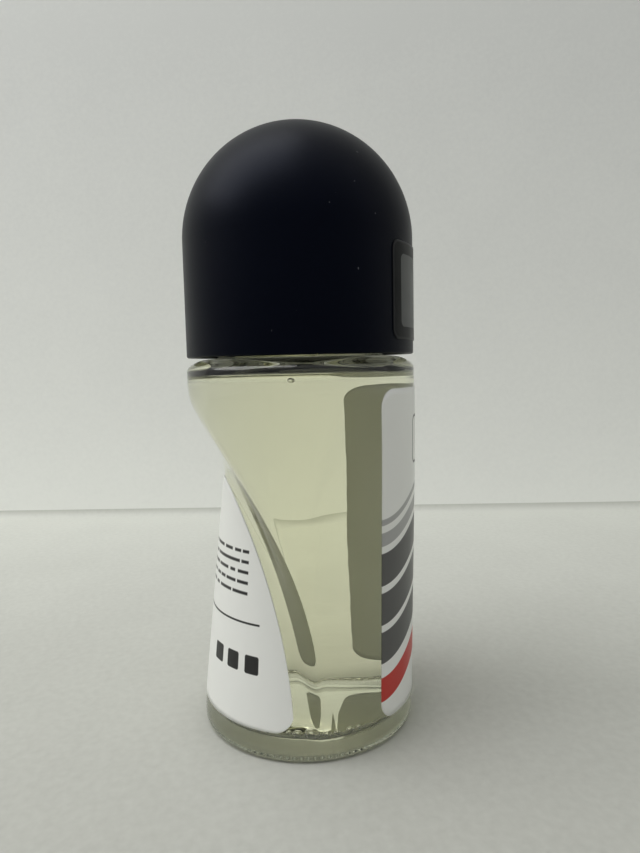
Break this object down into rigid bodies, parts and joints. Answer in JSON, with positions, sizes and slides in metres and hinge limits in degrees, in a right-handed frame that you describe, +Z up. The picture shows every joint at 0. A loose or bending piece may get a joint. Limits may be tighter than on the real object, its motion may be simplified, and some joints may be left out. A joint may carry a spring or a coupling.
{
  "type": "roll-on bottle",
  "caption": "Round glass roll-on bottle with an arched grip panel at the back, clear liquid, wrapped labels, a captive roller ball and a domed screw cap.",
  "frame": {"origin": "on the bottle's axis, at the face that it stands on", "axes": "+Z up along the bottle's axis, the front label faces -Y and the grip panel faces +Y"},
  "size_m": [0.0402, 0.0404, 0.1047],
  "materials": {
    "clear_glass": "polished",
    "clear_liquid": "gloss",
    "fitment_plastic": "satin",
    "ball_plastic": "gloss",
    "cap_plastic": "matte",
    "insert_plastic": "satin",
    "seal_pad": "matte",
    "front_label_film": "satin",
    "back_label_film": "satin",
    "sticker_film": "gloss"
  },
  "bodies": {
    "bottle": {"glass_bottle": "clear_glass", "liquid_fill": "clear_liquid", "ball_housing": "fitment_plastic", "front_label": "front_label_film", "back_label": "back_label_film"},
    "ball": {"roller_ball": "ball_plastic"},
    "seal": {"cap_seal": "seal_pad"},
    "cap": {"cap_shell": "cap_plastic", "cap_insert": "insert_plastic", "cap_sticker": "sticker_film"}
  },
  "joints": [
    {"name": "ball_spin", "type": "hinge", "parent": "bottle", "child": "ball", "pos_m": [0, 0, 0.0815], "axis": [1, 0, 0], "continuous": true},
    {"name": "cap_lift", "type": "slide", "parent": "bottle", "child": "seal", "axis": [0, 0, 1], "range_m": [0, 0.036]},
    {"name": "cap_turn", "type": "hinge", "parent": "seal", "child": "cap", "pos_m": [0, 0, 0.0651], "axis": [0, 0, 1], "range_deg": [0, 1440]}
  ],
  "couplings": [
    {"joint": "cap_lift", "follows": "cap_turn", "m_per_rad": 0.0014324}
  ]
}
